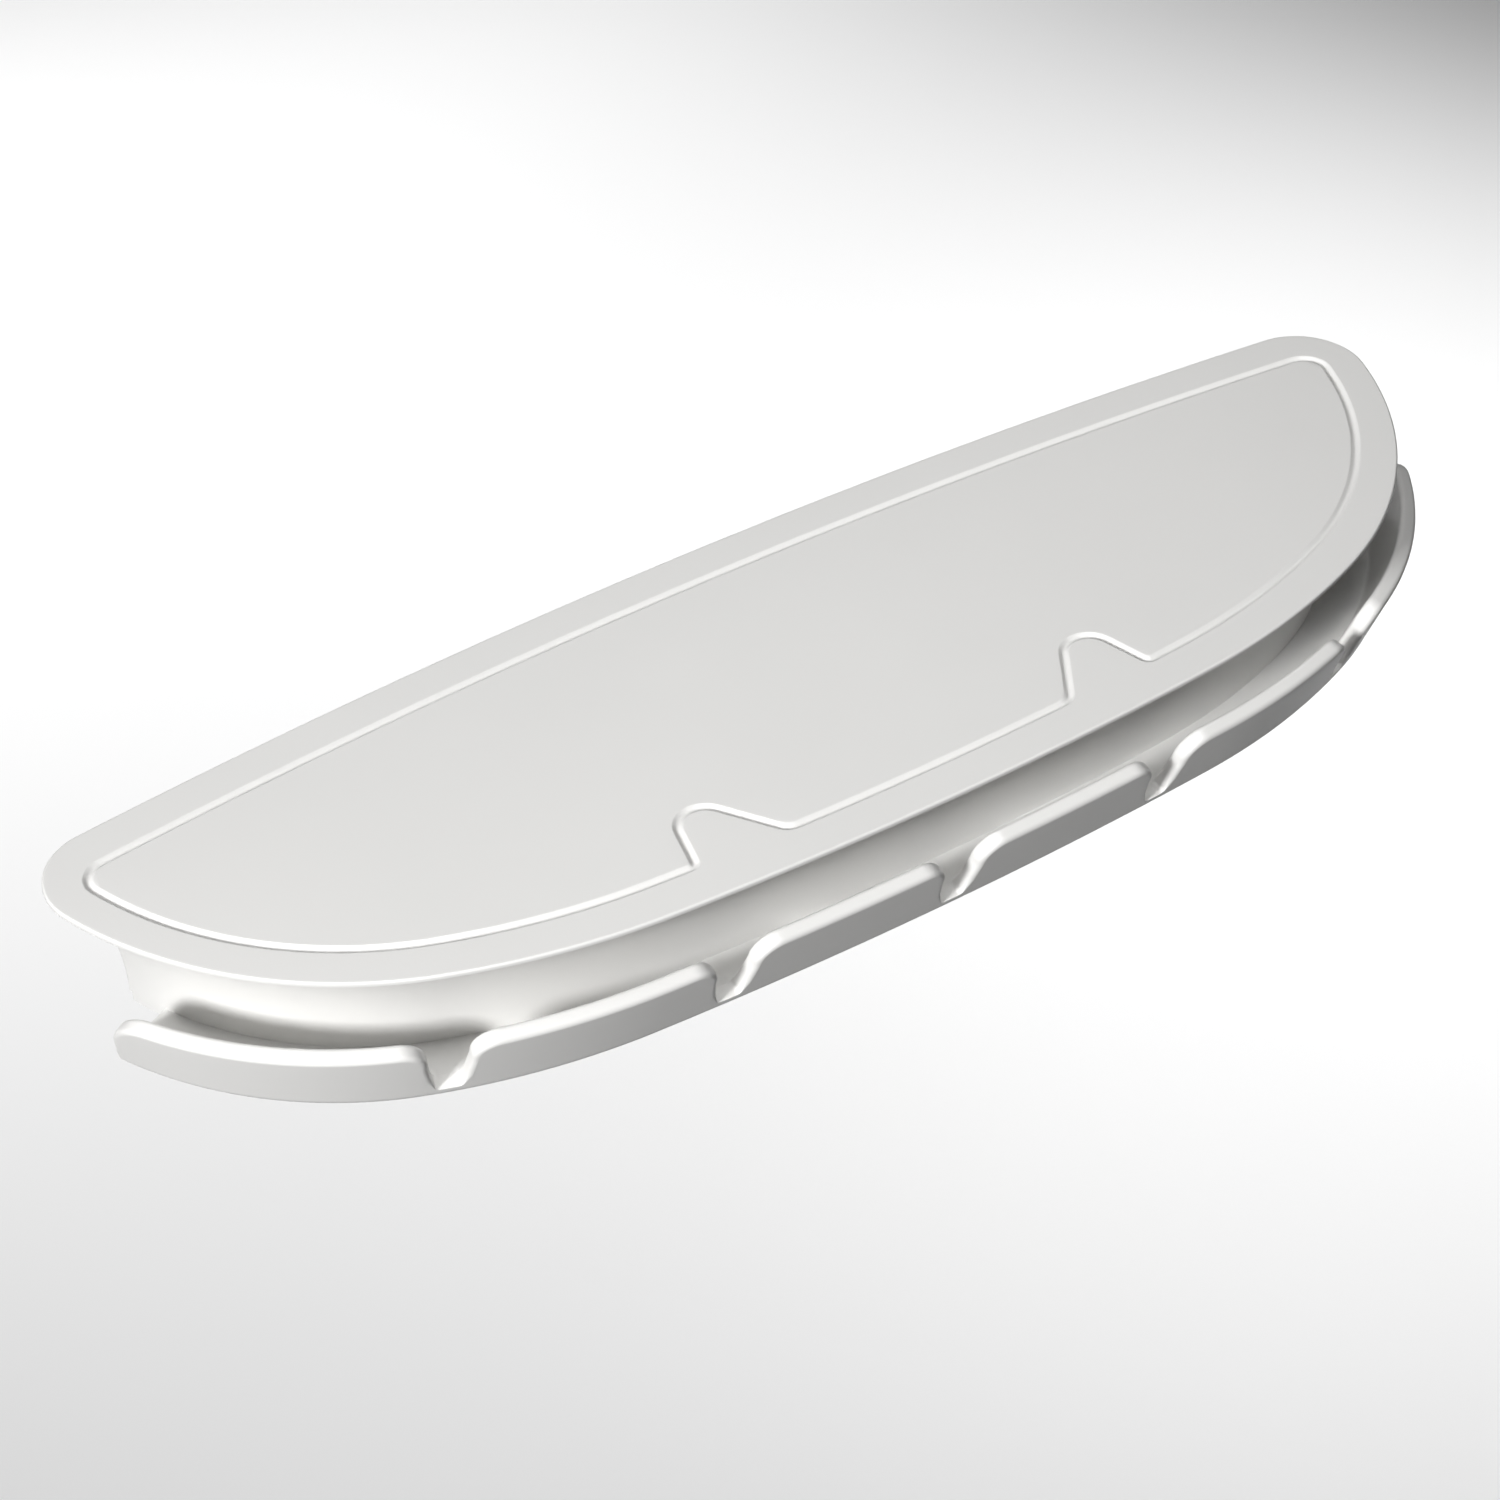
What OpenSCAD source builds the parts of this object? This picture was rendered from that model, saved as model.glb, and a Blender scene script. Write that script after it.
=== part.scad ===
// Half-moon wall shelf with a notched hanging rail under its front edge.
// The origin is the middle of the wall bracket's back face, which is the wall plane.
// +X runs along the shelf, +Y goes into the wall, +Z is up.

/* [Top plate] */
// Length of the top plate from end to end
plate_length = 320; // [310:1:330]
// Radius of the bowed back edge
back_radius = 1360; // [1200:10:1600]
// Radius of the two back corners
corner_radius = 14.6; // [14:0.1:18]
// Radius of the shoulders, where the ends turn into the front
shoulder_radius = 83.8; // [80:0.1:88]
// Radius of the flatter stretch between a shoulder and the front
side_radius = 156.9; // [150:0.1:165]
// Thickness of the plate's rim
plate_thickness = 1.2; // [1:0.1:2]
// Radius of the plate's rounded top edge
edge_radius = 0.5; // [0.3:0.1:1.5]
// Distance from the plate's edge to the middle of the groove
groove_inset = 9; // [7:0.1:11]
// Width of the engraved groove
groove_width = 2.2; // [1:0.1:2.6]
// Depth of the engraved groove
groove_depth = 0.6; // [0.4:0.1:1.2]

/* [Body] */
// How far the concave wall sweeps inwards
cove_inset = 13.5; // [11:0.1:14]
// Thickness of the moulded walls
wall = 2.4; // [2:0.1:3]

/* [Hanging rail] */
// Distance from the plate's top down to the rail's underside
overall_height = 32.4; // [31:0.1:34]
// Thickness of the rail's floor
floor_thickness = 3; // [2.5:0.1:3.5]
// Distance from the plate's top down to the lip's inner top edge
lip_drop = 14.4; // [13:0.1:16]
// Thickness of the lip
lip_thickness = 3.65; // [3:0.05:4]
// Outward lean of the lip
lip_lean = 20; // [10:1:24]
// Width of a notch at its bottom
notch_width = 5.6; // [4.5:0.1:7]
// Distance along the lip from the middle notch to the next one
inner_notch = 52.5; // [50:0.5:56]
// Distance along the lip from the middle notch to the last one
outer_notch = 111; // [106:0.5:114]

/* [Wall bracket] */
// Length of the bracket
bracket_length = 190; // [170:1:196]
// Height of the bracket
bracket_height = 20; // [18:0.5:22]
// Thickness of the bracket's back
bracket_thickness = 4; // [3:0.1:4]
// Distance between the bracket's screw holes
screw_hole_spacing = 140; // [120:1:150]
// Diameter of the bracket's screw holes
screw_hole_diameter = 4.5; // [4:0.1:5.5]

/* [Hidden] */
$fn = 48;

// Heights, counted from the plate's top
top_z = 16;
plate_bottom = -plate_thickness;
rail_bottom = -overall_height;
floor_top = rail_bottom + floor_thickness;
cove_height = plate_bottom - floor_top;

// An arc is [centre, radius, start heading, end heading].
// A heading is the outward direction, in degrees clockwise from +Y.
chord_error = 0.04;
function toward(heading) = [sin(heading), cos(heading)];
function next_centre(a, radius, heading) = a[0] + (a[1] - radius) * toward(heading);
function flipped(a) = [[-a[0].x, a[0].y], a[1], 360 - a[3], 360 - a[2]];
function arc_steps(a) = ceil((a[3] - a[2]) / min(8, 2 * acos(1 - chord_error / a[1])));
function arc_headings(a) = [for (i = [0 : arc_steps(a) - 1]) a[2] + (a[3] - a[2]) * i / arc_steps(a)];
function arc_points(a, offset) = [for (h = arc_headings(a)) a[0] + (a[1] + offset) * toward(h)];

// Plate outline: back, corner, shoulder, side and front arcs, each tangent to the next
back_turn = asin((plate_length / 2 - corner_radius) / (back_radius - corner_radius));
corner_end = back_turn + 100.6;
shoulder_end = corner_end + 52.2;
side_end = shoulder_end + 16.9;
plate_back = [[0, -back_radius], back_radius, -back_turn, back_turn];
plate_corner = [next_centre(plate_back, corner_radius, back_turn), corner_radius, back_turn, corner_end];
plate_shoulder = [next_centre(plate_corner, shoulder_radius, corner_end), shoulder_radius,
                  corner_end, shoulder_end];
plate_side = [next_centre(plate_shoulder, side_radius, shoulder_end), side_radius, shoulder_end, side_end];
front_radius = side_radius + plate_side[0].x / sin(side_end);
plate_front = [next_centre(plate_side, front_radius, side_end), front_radius, side_end, 360 - side_end];
plate_arcs = [plate_back, plate_corner, plate_shoulder, plate_side, plate_front,
              flipped(plate_side), flipped(plate_shoulder), flipped(plate_corner)];
plate_depth = front_radius - plate_front[0].y;

// Lip curve: the lip's inner top edge, a little fuller than the plate at the shoulders
lip_front_radius = 1050;
lip_side_radius = 152;
lip_shoulder_radius = 80.6;
lip_front_turn = 3.7;
lip_side_turn = 18;
lip_end_heading = 113.8;
lip_front_y = 0.5 - plate_depth;
lip_front = [[0, lip_front_y + lip_front_radius], lip_front_radius,
             180 - lip_front_turn, 180 + lip_front_turn];
lip_side_end = lip_front[2] - lip_side_turn;
lip_side = [next_centre(lip_front, lip_side_radius, lip_front[2]), lip_side_radius,
            lip_side_end, lip_front[2]];
lip_shoulder = [next_centre(lip_side, lip_shoulder_radius, lip_side_end), lip_shoulder_radius,
                lip_end_heading, lip_side_end];
lip_arcs = [lip_shoulder, lip_side, lip_front, flipped(lip_side), flipped(lip_shoulder)];

// Place and outward heading at a distance along the lip curve from its middle
front_run = lip_front_turn * lip_front_radius * PI / 180;
side_run = lip_side_turn * lip_side_radius * PI / 180;
function lip_heading(s) =
    s <= front_run ? 180 - s / lip_front_radius * 180 / PI
    : s <= front_run + side_run ? lip_front[2] - (s - front_run) / lip_side_radius * 180 / PI
    : lip_side_end - (s - front_run - side_run) / lip_shoulder_radius * 180 / PI;
function lip_arc_at(s) = s <= front_run ? lip_front : s <= front_run + side_run ? lip_side : lip_shoulder;
function lip_place(s) = lip_arc_at(s)[0] + lip_arc_at(s)[1] * toward(lip_heading(s));

// Lip section, as [distance outwards from the lip curve, height]
lip_along = [sin(lip_lean), cos(lip_lean)];
lip_across = [cos(lip_lean), -sin(lip_lean)];
lip_inner_top = [0, -lip_drop];
lip_outer_top = lip_inner_top + lip_thickness * lip_across;
lip_outer_foot = lip_outer_top.x - (lip_outer_top.y - rail_bottom) * tan(lip_lean);
lip_inner_foot = -(-lip_drop - floor_top) * tan(lip_lean);
lip_round = 1.2;
foot_round = 2;

// Clamping screws, driven up through the rail's floor and the body into the plate's posts
screw_places = [[-118, -40], [-45, -27], [45, -27], [118, -40], [-45, -66], [45, -66]];
// Where the rib of each screw post meets the outer wall
rib_ends = [[-118, -21], [-63, -6.5], [63, -6.5], [118, -21], [-45, -76.5], [45, -76.5]];
screw_radius = 1.75;
screw_head_radius = 3.5;
screw_head_height = 2;
head_recess = 2.2;
post_radius = 4;
post_bottom = -10;
screw_tip = -5;

// Bracket tongues, which the body's rear wall hangs on
tongue_spacing = 90;
tongue_width = 16;
tongue_neck = 4;
tongue_rise = 4;
tongue_thickness = 2;
rear_wall_face = -(bracket_thickness + 0.5);
rear_box_length = bracket_length + 6;
slot_height = tongue_neck + tongue_rise + 1;
slot_bottom = -4;

// Closed outlines: the plate's, drawn in by a distance, and the same one shrunk towards its middle
function plate_outline(inset) = [for (a = plate_arcs) each arc_points(a, -inset)];
function shrunk_outline(inset) =
    let (kx = 1 - inset / (plate_length / 2), ky = 1 - inset / (plate_depth / 2))
    [for (p = plate_outline(0)) [p.x * kx, (p.y + plate_depth / 2) * ky - plate_depth / 2]];

// Faces between rings of n points each, and the two end caps
function band_faces(n, rings, closed) =
    [for (k = [0 : rings - 2], i = [0 : n - (closed ? 1 : 2)])
        let (j = (i + 1) % n)
        each [[k * n + i, k * n + j, (k + 1) * n + i], [k * n + j, (k + 1) * n + j, (k + 1) * n + i]]];

// Solid through a stack of outlines, each given as [outline, height], from the top down
module stack(layers) {
    n = len(layers[0][0]);
    last = (len(layers) - 1) * n;
    translate([0, 0, top_z])
        polyhedron(
            [for (k = [len(layers) - 1 : -1 : 0], p = layers[k][0]) [p.x, p.y, layers[k][1]]],
            concat([[for (i = [n - 1 : -1 : 0]) i]], [[for (i = [0 : n - 1]) last + i]],
                   band_faces(n, len(layers), true)));
}

// Solid made by sweeping a section along open arcs: section points are [distance outwards, height]
module sweep(arcs, section) {
    n = len(section);
    stations = concat([for (a = arcs, h = arc_headings(a)) [a, h]], [[arcs[len(arcs) - 1], arcs[len(arcs) - 1][3]]]);
    last = (len(stations) - 1) * n;
    translate([0, 0, top_z])
        polyhedron(
            [for (t = stations, p = section)
                let (q = t[0][0] + (t[0][1] + p.x) * toward(t[1]))
                [q.x, q.y, p.y]],
            concat([[for (i = [n - 1 : -1 : 0]) i]], [[for (i = [0 : n - 1]) last + i]],
                   band_faces(n, len(stations), true)));
}

module screw_holes(radius, bottom, top) {
    for (p = screw_places)
        translate([p.x, p.y, top_z + bottom])
            cylinder(r = radius, h = top - bottom, $fn = 24);
}

// Thin rib with round ends between two points
module rib(from, to, thickness, bottom, top) {
    hull()
        for (p = [from, to])
            translate([p.x, p.y, top_z + bottom])
                cylinder(d = thickness, h = top - bottom, $fn = 8);
}

// Area inside the groove: the plate's outline drawn in, less two ear-shaped peaks at its front
ear_root_in = 34;
ear_root_out = 54.5;
ear_peak = [46.7, 15.5];
ear_round = 5.4;
module ear() {
    front_y = -plate_depth + groove_inset;
    hull() {
        translate([ear_peak.x, front_y + ear_peak.y - ear_round])
            circle(r = ear_round, $fn = 24);
        translate([ear_root_in, front_y - 2])
            square([ear_root_out - ear_root_in, 1.9]);
    }
}

module groove_area() {
    difference() {
        polygon(plate_outline(groove_inset));
        ear();
        mirror([1, 0])
            ear();
    }
}

module groove() {
    translate([0, 0, top_z - groove_depth])
        linear_extrude(groove_depth + 1)
            difference() {
                offset(delta = groove_width / 2)
                    groove_area();
                offset(delta = -groove_width / 2)
                    groove_area();
            }
}

module top_plate() {
    edge = [for (a = [90 : -30 : 0])
        [plate_outline(edge_radius * (1 - cos(a))), -edge_radius * (1 - sin(a))]];
    post_rib = 7;
    color("whitesmoke")
        difference() {
            union() {
                stack(concat(edge, [[plate_outline(0), plate_bottom]]));
                screw_holes(post_radius, post_bottom, plate_bottom + 0.5);
                for (p = screw_places)
                    rib([p.x - post_rib, p.y], [p.x + post_rib, p.y], 1.6, post_bottom + 4, plate_bottom + 0.5);
            }
            groove();
            screw_holes(screw_radius, post_bottom - 1, screw_tip);
        }
}

// Concave wall: a quarter ellipse from the plate's edge down to the rail's floor
function cove_layers(steps) =
    [for (i = [0 : steps])
        let (a = 90 * i / steps)
        [plate_outline(cove_inset * sin(a)), plate_bottom - cove_height * (1 - cos(a))]];

// Space inside it, which runs out past the body's open top and bottom
function cavity_layers(extra, steps) =
    concat([[shrunk_outline(extra), plate_bottom + 1]],
        [for (i = [1 : steps])
            let (a = 90 * i / steps)
            [shrunk_outline(extra + cove_inset * sin(a)), plate_bottom - (cove_height - 0.5) * (1 - cos(a))]],
        [[shrunk_outline(extra + cove_inset), floor_top - 1]]);

module rear_box(inset, bottom, top) {
    box_depth = cove_inset + 8 + rear_wall_face;
    translate([-rear_box_length / 2 + inset, rear_wall_face - box_depth, top_z + bottom])
        cube([rear_box_length - 2 * inset, box_depth - inset, top - bottom]);
}

module cove_body() {
    rib_places = [-82, 0, 82];
    rib_top = plate_bottom - 8;
    color("whitesmoke")
        difference() {
            union() {
                difference() {
                    union() {
                        stack(cove_layers(9));
                        rear_box(0, floor_top + 0.1, plate_bottom);
                    }
                    stack(cavity_layers(2 * wall, 8));
                    rear_box(wall, floor_top - 1, plate_bottom + 1);
                }
                screw_holes(post_radius, floor_top + 0.2, post_bottom);
                for (x = rib_places)
                    rib([x, -plate_depth + cove_inset + 3], [x, rear_wall_face - 2], 2, floor_top + 0.3, rib_top);
                for (i = [0 : 5])
                    rib(screw_places[i], rib_ends[i], 2, floor_top + 0.4, rib_top - 1);
            }
            screw_holes(screw_radius + 0.25, floor_top - 1, post_bottom + 1);
            for (side = [-1, 1])
                translate([side * tongue_spacing / 2 - tongue_width / 2 - 0.5, rear_wall_face - wall - 1, slot_bottom])
                    cube([tongue_width + 1, wall + 2, slot_height]);
        }
}

// One notch in the lip's face: a round-cornered slot that flares into round shoulders
module notch_cutter(s) {
    half = notch_width / 2;
    shoulder = 5.5;
    flare = 1.2;
    corner = 1;
    bottom_z = rail_bottom + 2.8;
    shoulder_z = -lip_drop - shoulder;
    place = lip_place(abs(s));
    heading = s < 0 ? 360 - lip_heading(-s) : lip_heading(s);
    translate([s < 0 ? -place.x : place.x, place.y, top_z])
        rotate([90, 0, 180 - heading])
            translate([0, 0, -6])
                linear_extrude(12) {
                    hull() {
                        for (side = [-1, 1])
                            translate([side * (half - corner), bottom_z + corner])
                                circle(r = corner, $fn = 16);
                        translate([-half - flare, shoulder_z])
                            square([2 * (half + flare), 0.01]);
                    }
                    difference() {
                        translate([-half - flare - shoulder, shoulder_z])
                            square([2 * (half + flare + shoulder), shoulder + 4]);
                        for (side = [-1, 1])
                            translate([side * (half + flare + shoulder), shoulder_z])
                                circle(r = shoulder, $fn = 48);
                    }
                }
}

// Rounds off one end of the lip, down to the floor
module end_cutter(side) {
    run = 10;
    stub = floor_top + 0.6;
    drop = -lip_drop - stub;
    tip = lip_shoulder[0] + lip_shoulder[1] * toward(lip_end_heading);
    arch = [for (a = [0 : 15 : 90]) [run * (1 - cos(a)), stub + drop * sin(a)]];
    mirror([side > 0 ? 0 : 1, 0, 0])
        translate([tip.x, tip.y, top_z])
            rotate([90, 0, 180 - lip_end_heading])
                translate([0, 0, -9])
                    linear_extrude(16)
                        mirror([1, 0])
                            polygon(concat([[-6, stub]], arch, [[run, 3 - lip_drop], [-6, 3 - lip_drop]]));
}

module hook_rail() {
    lip = [[lip_inner_foot, floor_top],
           lip_inner_top - lip_round * lip_along, lip_inner_top + lip_round * lip_across,
           lip_outer_top - lip_round * lip_across, lip_outer_top - lip_round * lip_along,
           [lip_outer_foot + foot_round * sin(lip_lean), rail_bottom + foot_round],
           [lip_outer_foot - foot_round * 0.3, rail_bottom + foot_round * 0.3],
           [lip_outer_foot - foot_round, rail_bottom], [-20, rail_bottom], [-20, floor_top]];
    floor_inset = cove_inset + 1;
    color("whitesmoke")
        difference() {
            union() {
                sweep(lip_arcs, lip);
                stack([[shrunk_outline(floor_inset), floor_top - 0.05],
                       [shrunk_outline(floor_inset), rail_bottom + 0.05]]);
                translate([-rear_box_length / 2, -30, top_z + rail_bottom + 0.1])
                    cube([rear_box_length, 30 + rear_wall_face, floor_thickness - 0.2]);
                for (x = [-75, -20, 20, 75])
                    rib([x, -60], [x, -32], 1.6, rail_bottom + 0.5, floor_top + 2);
            }
            for (s = [-outer_notch, -inner_notch, 0, inner_notch, outer_notch])
                notch_cutter(s);
            for (side = [-1, 1])
                end_cutter(side);
            screw_holes(screw_radius + 0.25, rail_bottom - 1, floor_top + 1);
            screw_holes(screw_head_radius + 0.5, rail_bottom - 1, rail_bottom + head_recess);
        }
}

module wall_bracket() {
    tongue_base = slot_bottom + 0.5;
    color("gainsboro")
        difference() {
            union() {
                translate([-bracket_length / 2, -bracket_thickness, -bracket_height / 2])
                    cube([bracket_length, bracket_thickness, bracket_height]);
                for (side = [-1, 1])
                    translate([side * tongue_spacing / 2 - tongue_width / 2, rear_wall_face - wall - 0.2 - tongue_thickness,
                               tongue_base]) {
                        cube([tongue_width, tongue_thickness + wall + 1, tongue_neck]);
                        cube([tongue_width, tongue_thickness, tongue_neck + tongue_rise]);
                    }
            }
            for (side = [-1, 1])
                translate([side * screw_hole_spacing / 2, 0, 0])
                    rotate([90, 0, 0])
                        translate([0, 0, -1])
                            cylinder(d = screw_hole_diameter, h = bracket_thickness + 2);
        }
}

module clamp_screw(place) {
    head_top = rail_bottom + head_recess;
    color("silver")
        translate([place.x, place.y, top_z + head_top]) {
            cylinder(r = screw_radius, h = screw_tip - head_top);
            difference() {
                translate([0, 0, -screw_head_height])
                    cylinder(r = screw_head_radius, h = screw_head_height);
                for (a = [0, 90])
                    rotate([0, 0, a])
                        translate([-2, -0.4, -screw_head_height - 1])
                            cube([4, 0.8, 2.2]);
            }
        }
}

top_plate();
cove_body();
hook_rail();
wall_bracket();
clamp_screw(screw_places[0]);  // clamp_screw_1
clamp_screw(screw_places[1]);  // clamp_screw_2
clamp_screw(screw_places[2]);  // clamp_screw_3
clamp_screw(screw_places[3]);  // clamp_screw_4
clamp_screw(screw_places[4]);  // clamp_screw_5
clamp_screw(screw_places[5]);  // clamp_screw_6
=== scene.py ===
# Half-moon wall shelf with a notched hanging rail, in satin white moulded plastic.
# The shape is worked out in millimetres, with heights below the plate's top as negative z;
# world() turns that into the frame's metres. Lights and camera are placed in metres.
import math

import bmesh
import bpy
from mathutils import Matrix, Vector

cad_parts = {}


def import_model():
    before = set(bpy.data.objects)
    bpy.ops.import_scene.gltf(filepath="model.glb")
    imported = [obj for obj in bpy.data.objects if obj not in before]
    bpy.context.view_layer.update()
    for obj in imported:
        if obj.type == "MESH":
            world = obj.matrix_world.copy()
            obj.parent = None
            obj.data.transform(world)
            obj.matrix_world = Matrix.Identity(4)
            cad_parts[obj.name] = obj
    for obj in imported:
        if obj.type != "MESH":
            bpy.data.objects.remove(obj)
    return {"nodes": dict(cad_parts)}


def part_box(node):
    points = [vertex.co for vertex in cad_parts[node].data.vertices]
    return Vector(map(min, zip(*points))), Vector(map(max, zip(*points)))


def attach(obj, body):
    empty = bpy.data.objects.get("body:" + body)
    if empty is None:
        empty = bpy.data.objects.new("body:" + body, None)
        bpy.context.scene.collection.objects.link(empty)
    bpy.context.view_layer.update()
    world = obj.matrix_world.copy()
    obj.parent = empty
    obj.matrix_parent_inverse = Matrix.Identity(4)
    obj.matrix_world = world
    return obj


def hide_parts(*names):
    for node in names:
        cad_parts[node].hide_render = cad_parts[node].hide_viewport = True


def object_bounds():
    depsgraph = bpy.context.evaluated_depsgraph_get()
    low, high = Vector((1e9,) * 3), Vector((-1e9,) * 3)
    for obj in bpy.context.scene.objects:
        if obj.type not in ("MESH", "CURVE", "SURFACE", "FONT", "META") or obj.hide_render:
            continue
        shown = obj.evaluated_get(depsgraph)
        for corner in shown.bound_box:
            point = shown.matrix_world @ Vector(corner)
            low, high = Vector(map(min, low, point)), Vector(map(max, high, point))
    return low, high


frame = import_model()
cad_lo, cad_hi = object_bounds()
MM = 0.001

plate_lo, plate_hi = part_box("top_plate")
rail_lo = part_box("hook_rail")[0]
TOP = plate_hi.z
HALF = plate_hi.x / MM
DEPTH = -plate_lo.y / MM
PLATE_BOTTOM = -1.2
RAIL_BOTTOM = (rail_lo.z - TOP) / MM
FLOOR_TOP = RAIL_BOTTOM + 3.0
LIP_TOP = -14.4
LIP_THICKNESS = 3.65
LEAN = math.radians(20)
COVE_INSET = 13.5
COVE_HEIGHT = PLATE_BOTTOM - FLOOR_TOP
GROOVE_INSET = 9.0
GROOVE_HALF_WIDTH = 1.2
GROOVE_DEPTH = 0.6
EAR_ROOT_IN, EAR_ROOT_OUT = 34.0, 54.5
EAR_PEAK_X, EAR_PEAK_BACK = 48.67, 33.0
EAR_ROUND = 5.4
RIM_RADIUS = 0.5
NOTCH_BOTTOM = RAIL_BOTTOM + 2.6
INNER_NOTCH, OUTER_NOTCH = 52.5, 111
HOUSING_HALF, HOUSING_FRONT, HOUSING_BACK = 98, -24, -4.5
SILL_FRONT = -30


# ---- plan curves: arcs as (centre x, centre y, radius, start heading, end heading), clockwise from +Y
def toward(heading):
    a = math.radians(heading)
    return Vector((math.sin(a), math.cos(a)))


def following(arc, radius, start, end):
    c = Vector(arc[0]) + (arc[1] - radius) * toward(start)
    return (c, radius, start, end)


def flipped(arc):
    return (Vector((-arc[0].x, arc[0].y)), arc[1], 360 - arc[3], 360 - arc[2])


def plate_arcs():
    back_r, corner_r = 1360.0, 14.6
    turn = math.degrees(math.asin((HALF - corner_r) / (back_r - corner_r)))
    back = (Vector((0, -back_r)), back_r, -turn, turn)
    corner = following(back, corner_r, turn, turn + 100.6)
    shoulder = following(corner, 83.8, corner[3], corner[3] + 52.2)
    side = following(shoulder, 156.9, shoulder[3], shoulder[3] + 16.9)
    front_r = 156.9 + side[0].x / math.sin(math.radians(side[3]))
    front = following(side, front_r, side[3], 360 - side[3])
    return [back, corner, shoulder, side, front, flipped(side), flipped(shoulder), flipped(corner)]


def stations(arcs, step, closed):
    """Points and outward directions along the arcs, about step mm apart."""
    out = []
    for c, r, h0, h1 in arcs:
        n = max(2, math.ceil(math.radians(h1 - h0) * r / step))
        out += [(c + r * toward(h0 + (h1 - h0) * i / n), toward(h0 + (h1 - h0) * i / n)) for i in range(n)]
    if not closed:
        c, r, h0, h1 = arcs[-1]
        out.append((c + r * toward(h1), toward(h1)))
    return out


class Lip:
    """The lip's inner top edge, as a curve measured from its middle."""

    front_r, side_r, shoulder_r = 1050.0, 152.0, 80.6
    front_turn, side_turn, end = 3.7, 18.0, 113.8

    def __init__(self):
        y = 0.5 - DEPTH
        self.front = (Vector((0, y + self.front_r)), self.front_r)
        h1 = 180 - self.front_turn
        h2 = h1 - self.side_turn
        self.side = (self.front[0] + (self.front_r - self.side_r) * toward(h1), self.side_r)
        self.shoulder = (self.side[0] + (self.side_r - self.shoulder_r) * toward(h2), self.shoulder_r)
        self.h = (h1, h2)
        self.s1 = math.radians(self.front_turn) * self.front_r
        self.s2 = self.s1 + math.radians(self.side_turn) * self.side_r
        self.length = self.s2 + math.radians(h2 - self.end) * self.shoulder_r

    def at(self, s):
        a = abs(s)
        if a <= self.s1:
            arc, h = self.front, 180 - math.degrees(a / self.front_r)
        elif a <= self.s2:
            arc, h = self.side, self.h[0] - math.degrees((a - self.s1) / self.side_r)
        else:
            arc, h = self.shoulder, self.h[1] - math.degrees((a - self.s2) / self.shoulder_r)
        n = toward(h)
        p = arc[0] + arc[1] * n
        if s < 0:
            p, n = Vector((-p.x, p.y)), Vector((-n.x, n.y))
        return p, n


# ---- mesh helpers
def world(x, y, z):
    return (x * MM, y * MM, TOP + z * MM)


def new_object(name, bm, smooth_angle=40):
    bmesh.ops.recalc_face_normals(bm, faces=bm.faces)
    mesh = bpy.data.meshes.new(name)
    bm.to_mesh(mesh)
    bm.free()
    ob = bpy.data.objects.new(name, mesh)
    bpy.context.scene.collection.objects.link(ob)
    for p in mesh.polygons:
        p.use_smooth = True
    mesh.set_sharp_from_angle(angle=math.radians(smooth_angle))
    return ob


def ring(bm, points):
    return [bm.verts.new(world(*p)) for p in points]


def bridge(bm, a, b, closed=True):
    n = len(a)
    for i in range(n if closed else n - 1):
        j = (i + 1) % n
        bm.faces.new((a[i], a[j], b[j], b[i]))


def weighted(ob):
    m = ob.modifiers.new("normals", "WEIGHTED_NORMAL")
    m.keep_sharp = True
    m.weight = 100
    return ob


def fill_between(bm, loops):
    """Fills a flat area bounded by closed loops of vertices; inner loops are holes."""
    edges = []
    for loop in loops:
        n = len(loop)
        for i in range(n):
            e = bm.edges.get((loop[i], loop[(i + 1) % n])) or bm.edges.new((loop[i], loop[(i + 1) % n]))
            edges.append(e)
    bmesh.ops.triangle_fill(bm, use_beauty=True, use_dissolve=False, edges=edges, normal=(0, 0, 1))


# ---- groove path: the outline drawn in, with a pointed peak at each side of the front
def rounded(points, radius):
    """Replaces one corner, given as (before, corner, after), by an arc of that radius."""
    a, b, c = [Vector(p) for p in points]
    u, v = (a - b).normalized(), (c - b).normalized()
    half = u.angle(v) / 2
    run = radius / math.tan(half)
    centre = b + (u + v).normalized() * (radius / math.sin(half))
    start, stop = b + u * run, b + v * run
    d0, d1 = start - centre, stop - centre
    turn = d0.angle_signed(d1)
    n = max(6, int(abs(turn) * radius / 0.25))
    out = []
    for i in range(n + 1):
        t = -turn * i / n
        x = d0.x * math.cos(t) - d0.y * math.sin(t)
        y = d0.x * math.sin(t) + d0.y * math.cos(t)
        out.append(centre + Vector((x, y)))
    return out


def straight(a, b, step=1.0):
    n = max(1, int((b - a).length / step))
    return [a + (b - a) * i / n for i in range(1, n)]


def on_front(p):
    return p.y < -DEPTH / 2


def front_y(points, x):
    """Height on the plan of the front point nearest to x."""
    return min((p for p in points if on_front(p)), key=lambda p: abs(p.x - x)).y


def ear(points, side):
    """One peak of the groove as (outermost x, innermost x, its points), going clockwise."""
    outer, inner = (EAR_ROOT_OUT, EAR_ROOT_IN) if side > 0 else (-EAR_ROOT_IN, -EAR_ROOT_OUT)
    first, last = Vector((outer, front_y(points, outer))), Vector((inner, front_y(points, inner)))
    peak = Vector((side * EAR_PEAK_X, EAR_PEAK_BACK - DEPTH))
    before = Vector((outer + 6, front_y(points, outer + 6)))
    after = Vector((inner - 6, front_y(points, inner - 6)))
    start_round, end_round = (1.8, 4.0) if side > 0 else (4.0, 1.8)
    a = rounded((before, first, peak), start_round)
    b = rounded((first, peak, last), EAR_ROUND)
    c = rounded((peak, last, after), end_round)
    bump = a + straight(a[-1], b[0], 0.8) + b + straight(b[-1], c[0], 0.8) + c
    return a[0].x, c[-1].x, bump


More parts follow.
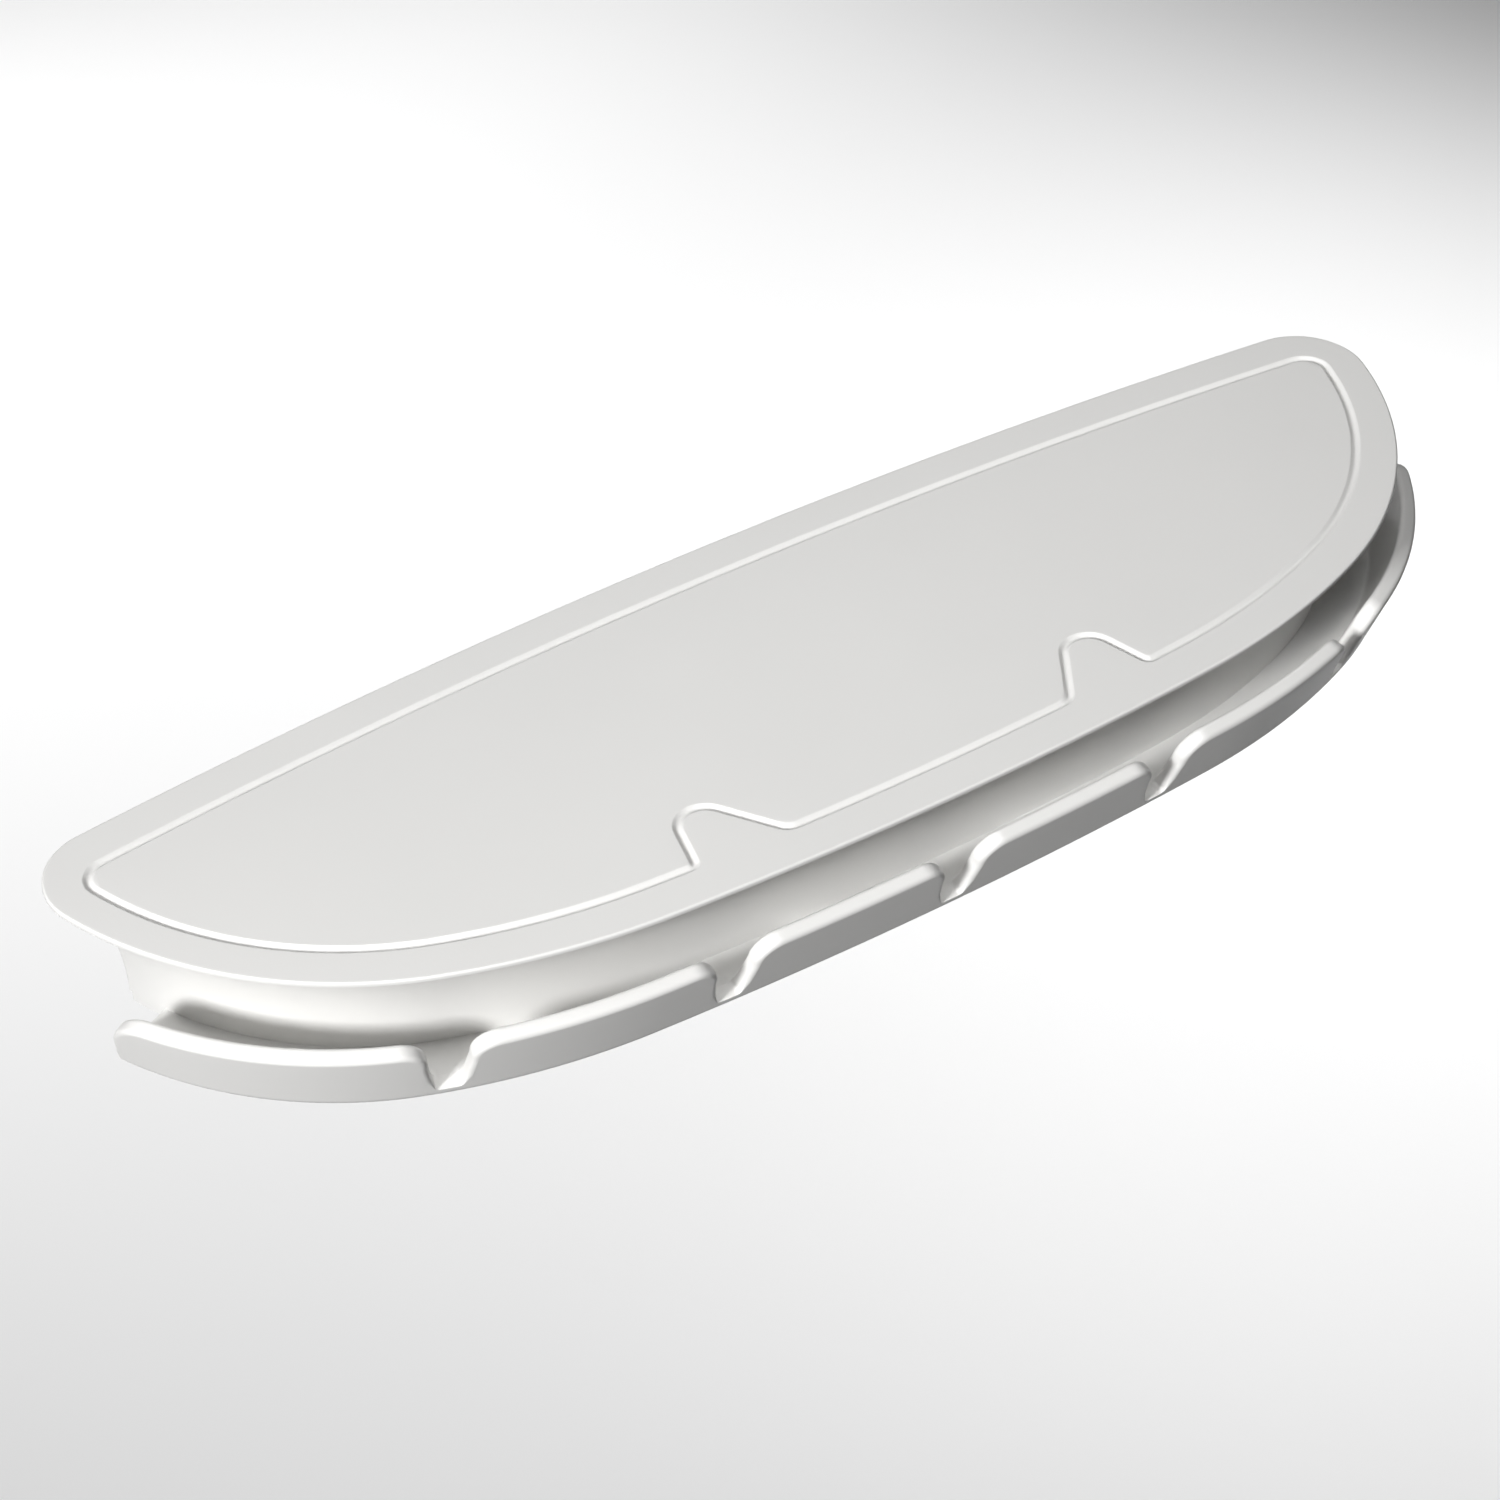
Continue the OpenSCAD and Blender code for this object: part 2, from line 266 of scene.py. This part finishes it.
def groove_path():
    pts = []
    for p, n in stations(plate_arcs(), 1.2, True):
        inset = GROOVE_INSET + 0.5 * (2 * n.y * n.y - 1)
        pts.append(p - n * inset)
    ears = [ear(pts, side) for side in (1, -1)]
    path = []
    used = [False, False]
    for w in pts:
        skip = False
        for k, (x0, x1, bump) in enumerate(ears):
            if on_front(w) and x1 - 0.5 < w.x < x0 + 0.5:
                skip = True
                if not used[k]:
                    path += bump
                    used[k] = True
        if not skip:
            path.append(w)
    return path


def offset_loop(path, d):
    """The loop moved sideways by d, positive outwards; the path runs clockwise."""
    n = len(path)
    out = []
    for i in range(n):
        t = (path[(i + 1) % n] - path[i - 1]).normalized()
        out.append(path[i] + Vector((-t.y, t.x)) * d)
    return out


def build_plate():
    bm = bmesh.new()
    outline = stations(plate_arcs(), 1.6, True)
    r = RIM_RADIUS
    quarter = [math.radians(x) for x in range(0, 91, 15)]
    section = [(-3.0, PLATE_BOTTOM), (-0.2, PLATE_BOTTOM)]
    section += [(-0.06, PLATE_BOTTOM + 0.06), (0, PLATE_BOTTOM + 0.2)]
    section += [(-r * (1 - math.cos(a)), -r * (1 - math.sin(a))) for a in quarter]
    section.append((-r - 0.4, 0.0))
    rings = [ring(bm, [((p + n * o).x, (p + n * o).y, z) for p, n in outline]) for o, z in section]
    for a, b in zip(rings, rings[1:]):
        bridge(bm, a, b)
    bm.faces.new(rings[0])
    path = groove_path()
    steps = 7
    profile = []
    for i in range(2 * steps + 1):
        dip = (0.5 - 0.5 * math.cos(math.pi * i / steps)) ** 0.9
        profile.append((GROOVE_HALF_WIDTH * (1 - i / steps), -GROOVE_DEPTH * dip))
    grooves = [ring(bm, [(q.x, q.y, z) for q in offset_loop(path, d)]) for d, z in profile]
    for a, b in zip(grooves, grooves[1:]):
        bridge(bm, a, b)
    fill_between(bm, [rings[-1], grooves[0]])
    fill_between(bm, [grooves[-1]])
    return weighted(new_object("shelf_top", bm, 60))


def build_cove():
    bm = bmesh.new()
    outline = stations(plate_arcs(), 1.8, True)
    steps = 36
    section = []
    for i in range(steps + 1):
        a = math.radians(90 * i / steps)
        inset = 0.45 + COVE_INSET * math.sin(a) * 0.9667
        section.append((-inset, PLATE_BOTTOM - COVE_HEIGHT * (1 - math.cos(a))))
    section[-1] = (section[-1][0], FLOOR_TOP - 0.02)
    rings = [ring(bm, [((p + n * o).x, (p + n * o).y, z) for p, n in outline]) for o, z in section]
    for a, b in zip(rings, rings[1:]):
        bridge(bm, a, b)
    bm.faces.new(rings[0])
    bm.faces.new(rings[-1])
    return weighted(new_object("cove_wall", bm, 50))


def rounded_box(name, lo, hi, radius):
    """Box with rounded edges, its corners in mm with heights from the plate's top."""
    bm = bmesh.new()
    bmesh.ops.create_cube(bm, size=1)
    for v in bm.verts:
        c = [lo[k] if v.co[k] < 0 else hi[k] for k in range(3)]
        v.co = world(*c)
    bmesh.ops.bevel(bm, geom=list(bm.edges), offset=radius * MM, segments=4, affect="EDGES", profile=0.5)
    return weighted(new_object(name, bm, 60))


def lip_contour(lip):
    """Half of the lip's top line, from the middle notch to the end: (distance, height, outward normal)."""
    half, flare, shoulder, corner = 2.8, 1.3, 5.6, 1.1
    bottom = NOTCH_BOTTOM
    pts = []

    def notch(at, sides):
        rise = LIP_TOP - shoulder
        lean = math.atan2(flare, rise - bottom)
        right = []
        n = 6
        for i in range(n + 1):
            t = (math.pi / 2 - lean) * i / n
            x, z = half - corner + corner * math.sin(t), bottom + corner * (1 - math.cos(t))
            right.append((x, z, -math.sin(t), math.cos(t)))
        x0, z0 = right[-1][:2]
        x1 = half + flare + shoulder - shoulder * math.cos(lean)
        z1 = rise - shoulder * math.sin(lean)
        for i in range(1, 8):
            k = i / 8
            right.append((x0 + (x1 - x0) * k, z0 + (z1 - z0) * k, -math.cos(lean), math.sin(lean)))
        n = 16
        for i in range(n + 1):
            t = -lean + (math.pi / 2 + lean) * i / n
            x, z = half + flare + shoulder - shoulder * math.cos(t), rise + shoulder * math.sin(t)
            right.append((x, z, -math.cos(t), math.sin(t)))
        out = []
        if -1 in sides:
            out += [(at - x, z, -nx, nz) for x, z, nx, nz in reversed(right)]
        out.append((at, bottom, 0, 1))
        if 1 in sides:
            out += [(at + x, z, nx, nz) for x, z, nx, nz in right]
        return out

    groups = [notch(0, (1,)), notch(INNER_NOTCH, (-1, 1)), notch(OUTER_NOTCH, (-1, 1))]
    for group in groups:
        if pts:
            gap = group[0][0] - pts[-1][0]
            n = max(1, int(gap / 1.4))
            start = pts[-1][0]
            pts += [(start + gap * i / n, LIP_TOP, 0, 1) for i in range(1, n)]
        pts += group
    run, stub = 11.0, FLOOR_TOP + 0.8
    drop = LIP_TOP - stub
    start, stop = pts[-1][0], lip.length - run
    n = int((stop - start) / 1.4)
    pts += [(start + (stop - start) * i / n, LIP_TOP, 0, 1) for i in range(1, n + 1)]
    n = 24
    for i in range(1, n + 1):
        t = math.pi / 2 * i / n
        nx, nz = math.sin(t) / run, math.cos(t) / drop
        k = math.hypot(nx, nz)
        pts.append((stop + run * math.sin(t), stub + drop * math.cos(t), nx / k, nz / k))
    return pts


def build_rail():
    lip = Lip()
    half = lip_contour(lip)
    contour = [(-s, z, -nx, nz) for s, z, nx, nz in reversed(half[1:])] + half
    notch_z = NOTCH_BOTTOM
    low_s, high_s = -lip.length, lip.length
    bm = bmesh.new()
    rows = []

    def point(s, z, across):
        """A point of the leaning lip: distance along, height on the inner face, share of the thickness."""
        w = min(1, max(0, (z - notch_z) / (LIP_TOP - notch_z)))
        t = across * LIP_THICKNESS
        zz = z - w * t * math.sin(LEAN)
        out = (zz - LIP_TOP) * math.tan(LEAN) + t / math.cos(LEAN)
        p, n = lip.at(min(high_s, max(low_s, s)))
        q = p + n * out
        return (q.x, q.y, zz)

    for s, z, nx, nz in contour:
        tall = min(1, max(0.12, (z - notch_z) / 4))
        r = 1.15 * tall
        row = []
        p, n = lip.at(s)
        base = min(FLOOR_TOP, z - 0.05)
        root = (base - LIP_TOP) * math.tan(LEAN)
        middle = (FLOOR_TOP + base) / 2 + 0.02
        for out, zz in ((-20, FLOOR_TOP), (root - 2.2, FLOOR_TOP), (root - 1.0, middle)):
            q = p + n * out
            row.append((q.x, q.y, zz))
        s_edge, z_edge = s - nx * r, max(base, z - nz * r)
        lift = min(1.0, 0.5 * (z_edge - base))
        for k in (0.0, 0.3, 1.0):
            q = p + n * (root - 0.7 * lift * (1 - k) ** 2)
            if k < 1:
                row.append((q.x, q.y, base + lift * k * k))
            else:
                row.append(point(s, base + lift, 0))
        for k in (0.33, 0.66):
            row.append(point(s + (s_edge - s) * k, base + lift + (z_edge - base - lift) * k, 0))
        share = r / LIP_THICKNESS
        arc = [math.radians(x) for x in (0, 18, 36, 54, 72, 90)]
        for a in arc:
            e = r * (1 - math.sin(a))
            row.append(point(s - nx * e, max(base, z - nz * e), share * (1 - math.cos(a))))
        row.append(point(s, z, 0.5))
        for a in reversed(arc):
            e = r * (1 - math.sin(a))
            row.append(point(s - nx * e, z - nz * e, 1 - share * (1 - math.cos(a))))
        foot_r = 2.0
        top_z = row[-1][2]
        foot_z = RAIL_BOTTOM + foot_r
        for k in (0.25, 0.5, 0.75, 1.0):
            zz = top_z + (foot_z - top_z) * k if top_z > foot_z else top_z - 0.01 * k
            out = (zz - LIP_TOP) * math.tan(LEAN) + LIP_THICKNESS / math.cos(LEAN)
            pp, nn = lip.at(min(high_s, max(low_s, s_edge + (s - s_edge) * k)))
            q = pp + nn * out
            row.append((q.x, q.y, zz))
        zz = row[-1][2]
        out0 = (zz - LIP_TOP) * math.tan(LEAN) + LIP_THICKNESS / math.cos(LEAN)
        for a in (20, 45, 70, 90):
            t = math.radians(a)
            q = p + n * (out0 - foot_r * (1 - math.cos(t)) * 1.15 - 0.2 * math.sin(t))
            row.append((q.x, q.y, zz - (zz - RAIL_BOTTOM) * math.sin(t)))
        q = p + n * -20
        row.append((q.x, q.y, RAIL_BOTTOM))
        rows.append(ring(bm, row))
    for a, b in zip(rows, rows[1:]):
        bridge(bm, a, b)
    bm.faces.new(rows[0])
    bm.faces.new(rows[-1])
    return weighted(new_object("hanging_rail", bm, 50))


def build_floor_slab():
    """Underside of the body inside the rail, with a counterbore for each clamping screw."""
    bm = bmesh.new()
    outline = stations(plate_arcs(), 2.5, True)
    inset = COVE_INSET + 0.5
    low, high = RAIL_BOTTOM + 0.06, FLOOR_TOP - 0.1
    lower = ring(bm, [((p - n * inset).x, (p - n * inset).y, low) for p, n in outline])
    upper = ring(bm, [((p - n * inset).x, (p - n * inset).y, high) for p, n in outline])
    bridge(bm, lower, upper)
    bm.faces.new(upper)
    holes = []
    for name in sorted(n for n in frame["nodes"] if n.startswith("clamp_screw")):
        lo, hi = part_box(name)
        cx, cy = (lo.x + hi.x) / 2 / MM, (lo.y + hi.y) / 2 / MM
        loops = []
        for radius, z in ((4.4, low), (4.1, low + 0.3), (4.0, low + 2.2), (1.2, low + 2.2)):
            loops.append(ring(bm, [(cx + radius * math.cos(a), cy + radius * math.sin(a), z)
                                   for a in [2 * math.pi * i / 40 for i in range(40)]]))
        for a, b in zip(loops, loops[1:]):
            bridge(bm, a, b)
        holes.append(loops[0])
    fill_between(bm, [lower] + holes)
    return weighted(new_object("rail_floor", bm, 50))


def bevelled_copy(node, name, width):
    source = frame["nodes"][node]
    mesh = source.data.copy()
    ob = bpy.data.objects.new(name, mesh)
    bpy.context.scene.collection.objects.link(ob)
    bm = bmesh.new()
    bm.from_mesh(mesh)
    bmesh.ops.remove_doubles(bm, verts=bm.verts, dist=1e-6)
    bmesh.ops.dissolve_limit(bm, angle_limit=math.radians(1), verts=bm.verts, edges=bm.edges)
    bm.to_mesh(mesh)
    bm.free()
    for p in mesh.polygons:
        p.use_smooth = True
    b = ob.modifiers.new("edge", "BEVEL")
    b.width = width * MM
    b.segments = 3
    b.limit_method = "ANGLE"
    b.angle_limit = math.radians(50)
    return weighted(ob)


# ---- materials
def principled(name):
    m = bpy.data.materials.new(name)
    m.use_nodes = True
    nodes, links = m.node_tree.nodes, m.node_tree.links
    return m, nodes, links, nodes["Principled BSDF"]


def noise(nodes, links, coords, scale, detail=2):
    n = nodes.new("ShaderNodeTexNoise")
    n.inputs["Scale"].default_value = scale
    n.inputs["Detail"].default_value = detail
    links.new(coords.outputs["Object"], n.inputs["Vector"])
    return n.outputs["Fac"]


def spread_over(nodes, links, factor, low, high, target):
    span = nodes.new("ShaderNodeMapRange")
    span.inputs["To Min"].default_value = low
    span.inputs["To Max"].default_value = high
    links.new(factor, span.inputs["Value"])
    links.new(span.outputs["Result"], target)


def bumped(nodes, links, height, strength, distance):
    bump = nodes.new("ShaderNodeBump")
    bump.inputs["Strength"].default_value = strength
    bump.inputs["Distance"].default_value = distance
    links.new(height, bump.inputs["Height"])
    return bump


def plastic(name, colour, roughness, grain, coat):
    """Moulded plastic: faint cloudy tone, fine spark-eroded texture and slow waves in the gloss."""
    m, nodes, links, bsdf = principled(name)
    coords = nodes.new("ShaderNodeTexCoord")
    cloud = noise(nodes, links, coords, 14, 3)
    tone = nodes.new("ShaderNodeValToRGB")
    tone.color_ramp.elements[0].position = 0.3
    tone.color_ramp.elements[1].position = 0.7
    tone.color_ramp.elements[0].color = [c * 0.985 for c in colour] + [1]
    tone.color_ramp.elements[1].color = [min(1, c * 1.01) for c in colour] + [1]
    links.new(cloud, tone.inputs["Fac"])
    links.new(tone.outputs["Color"], bsdf.inputs["Base Color"])
    gloss = noise(nodes, links, coords, 55, 4)
    spread_over(nodes, links, gloss, roughness - 0.04, roughness + 0.04, bsdf.inputs["Roughness"])
    fine = noise(nodes, links, coords, 1600)
    wave = noise(nodes, links, coords, 22, 1)
    slow = bumped(nodes, links, wave, 0.12, 0.0006)
    bump = bumped(nodes, links, fine, grain, 0.00004)
    links.new(slow.outputs["Normal"], bump.inputs["Normal"])
    links.new(bump.outputs["Normal"], bsdf.inputs["Normal"])
    bsdf.inputs["IOR"].default_value = 1.5
    bsdf.inputs["Coat Weight"].default_value = coat
    bsdf.inputs["Coat Roughness"].default_value = 0.25
    return m


def steel(name):
    m, nodes, links, bsdf = principled(name)
    coords = nodes.new("ShaderNodeTexCoord")
    spread_over(nodes, links, noise(nodes, links, coords, 700), 0.24, 0.42, bsdf.inputs["Roughness"])
    bsdf.inputs["Base Color"].default_value = (0.6, 0.6, 0.62, 1)
    bsdf.inputs["Metallic"].default_value = 1
    return m


def paper(name, value):
    m, nodes, links, bsdf = principled(name)
    coords = nodes.new("ShaderNodeTexCoord")
    cloud = noise(nodes, links, coords, 3)
    spread_over(nodes, links, cloud, value - 0.005, value + 0.005, bsdf.inputs["Base Color"])
    bsdf.inputs["Roughness"].default_value = 0.9
    return m


white = plastic("satin_white_plastic", (0.80, 0.795, 0.78), 0.42, 0.25, 0.15)
grey_white = plastic("bracket_plastic", (0.70, 0.70, 0.69), 0.55, 0.35, 0.0)
metal = steel("screw_steel")

# ---- the object
plate = build_plate()
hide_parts("top_plate")
cove = build_cove()
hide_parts("cove_body")
rear = rounded_box("rear_housing", (-HOUSING_HALF, HOUSING_FRONT, FLOOR_TOP + 0.1),
                   (HOUSING_HALF, HOUSING_BACK, PLATE_BOTTOM - 0.1), 0.8)
rail = build_rail()
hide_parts("hook_rail")
slab = build_floor_slab()
# The sill runs over the recesses of the two rear clamping screws.
sill = rounded_box("rear_sill", (-HOUSING_HALF, SILL_FRONT, RAIL_BOTTOM + 0.1),
                   (HOUSING_HALF, HOUSING_BACK, FLOOR_TOP - 0.1), 0.6)
bracket = bevelled_copy("wall_bracket", "bracket", 0.4)
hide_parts("wall_bracket")

for ob in (plate, cove, rear, rail, slab, sill):
    ob.data.materials.clear()
    ob.data.materials.append(white)
bracket.data.materials.clear()
bracket.data.materials.append(grey_white)
for ob in (plate, cove, rear, rail, slab, sill, bracket):
    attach(ob, "root")
for name, node in frame["nodes"].items():
    if name.startswith("clamp_screw"):
        node.data.materials.clear()
        node.data.materials.append(metal)

# ---- floor, lights and camera
floor_z = cad_lo.z - 0.9
bm = bmesh.new()
bmesh.ops.create_grid(bm, x_segments=8, y_segments=8, size=6)
floor = new_object("floor", bm)
floor.location = (0, 0, floor_z)
floor.data.materials.append(paper("pale_floor", 0.9))


def area(name, place, target, size, power, spread):
    """Rectangular light at place, turned to target; spread is the full angle of its beam in degrees."""
    light = bpy.data.lights.new(name, "AREA")
    light.shape = "RECTANGLE"
    light.size, light.size_y = size
    light.energy = power
    light.spread = math.radians(spread)
    ob = bpy.data.objects.new(name, light)
    ob.location = place
    ob.rotation_euler = (Vector(target) - Vector(place)).to_track_quat("-Z", "Y").to_euler()
    bpy.context.scene.collection.objects.link(ob)


area("key_left", (-1.56, -0.70, 0.83), (0, -0.05, 0), (0.3, 0.3), 1.3, 30)
area("overhead", (-0.3, -0.5, 1.9), (0, -0.05, 0), (0.8, 0.8), 2.0, 60)
area("floor_wash_back", (0.9, 2.4, -0.12), (0.45, 1.15, floor_z), (1.4, 0.7), 6.5, 66)
area("floor_wash_left", (-1.2, 1.9, -0.15), (0.2, 1.35, floor_z), (1.2, 0.7), 6.0, 76)
area("floor_wash_right", (1.7, 0.9, -0.2), (0.85, 0.45, floor_z), (1.0, 0.7), 2.9, 70)

world_data = bpy.data.worlds.new("studio")
bpy.context.scene.world = world_data
world_data.use_nodes = True
background = world_data.node_tree.nodes["Background"]
background.inputs["Color"].default_value = (1, 1, 1, 1)
background.inputs["Strength"].default_value = 0.03

azimuth, elevation = math.radians(-34.44), math.radians(40.22)
aim = Vector((-0.02708, -0.05973, TOP))
level = math.cos(elevation)
away = Vector((math.sin(azimuth) * level, -math.cos(azimuth) * level, math.sin(elevation)))
camera_distance = 0.7804
camera_data = bpy.data.cameras.new("camera")
camera_data.sensor_width = 36
camera_data.lens = 96
camera = bpy.data.objects.new("camera", camera_data)
camera.location = aim + away * camera_distance
camera.rotation_euler = (math.radians(90) - elevation, 0, azimuth)
bpy.context.scene.collection.objects.link(camera)
bpy.context.scene.camera = camera
bpy.context.scene.view_settings.view_transform = "Standard"

bpy.context.view_layer.update()
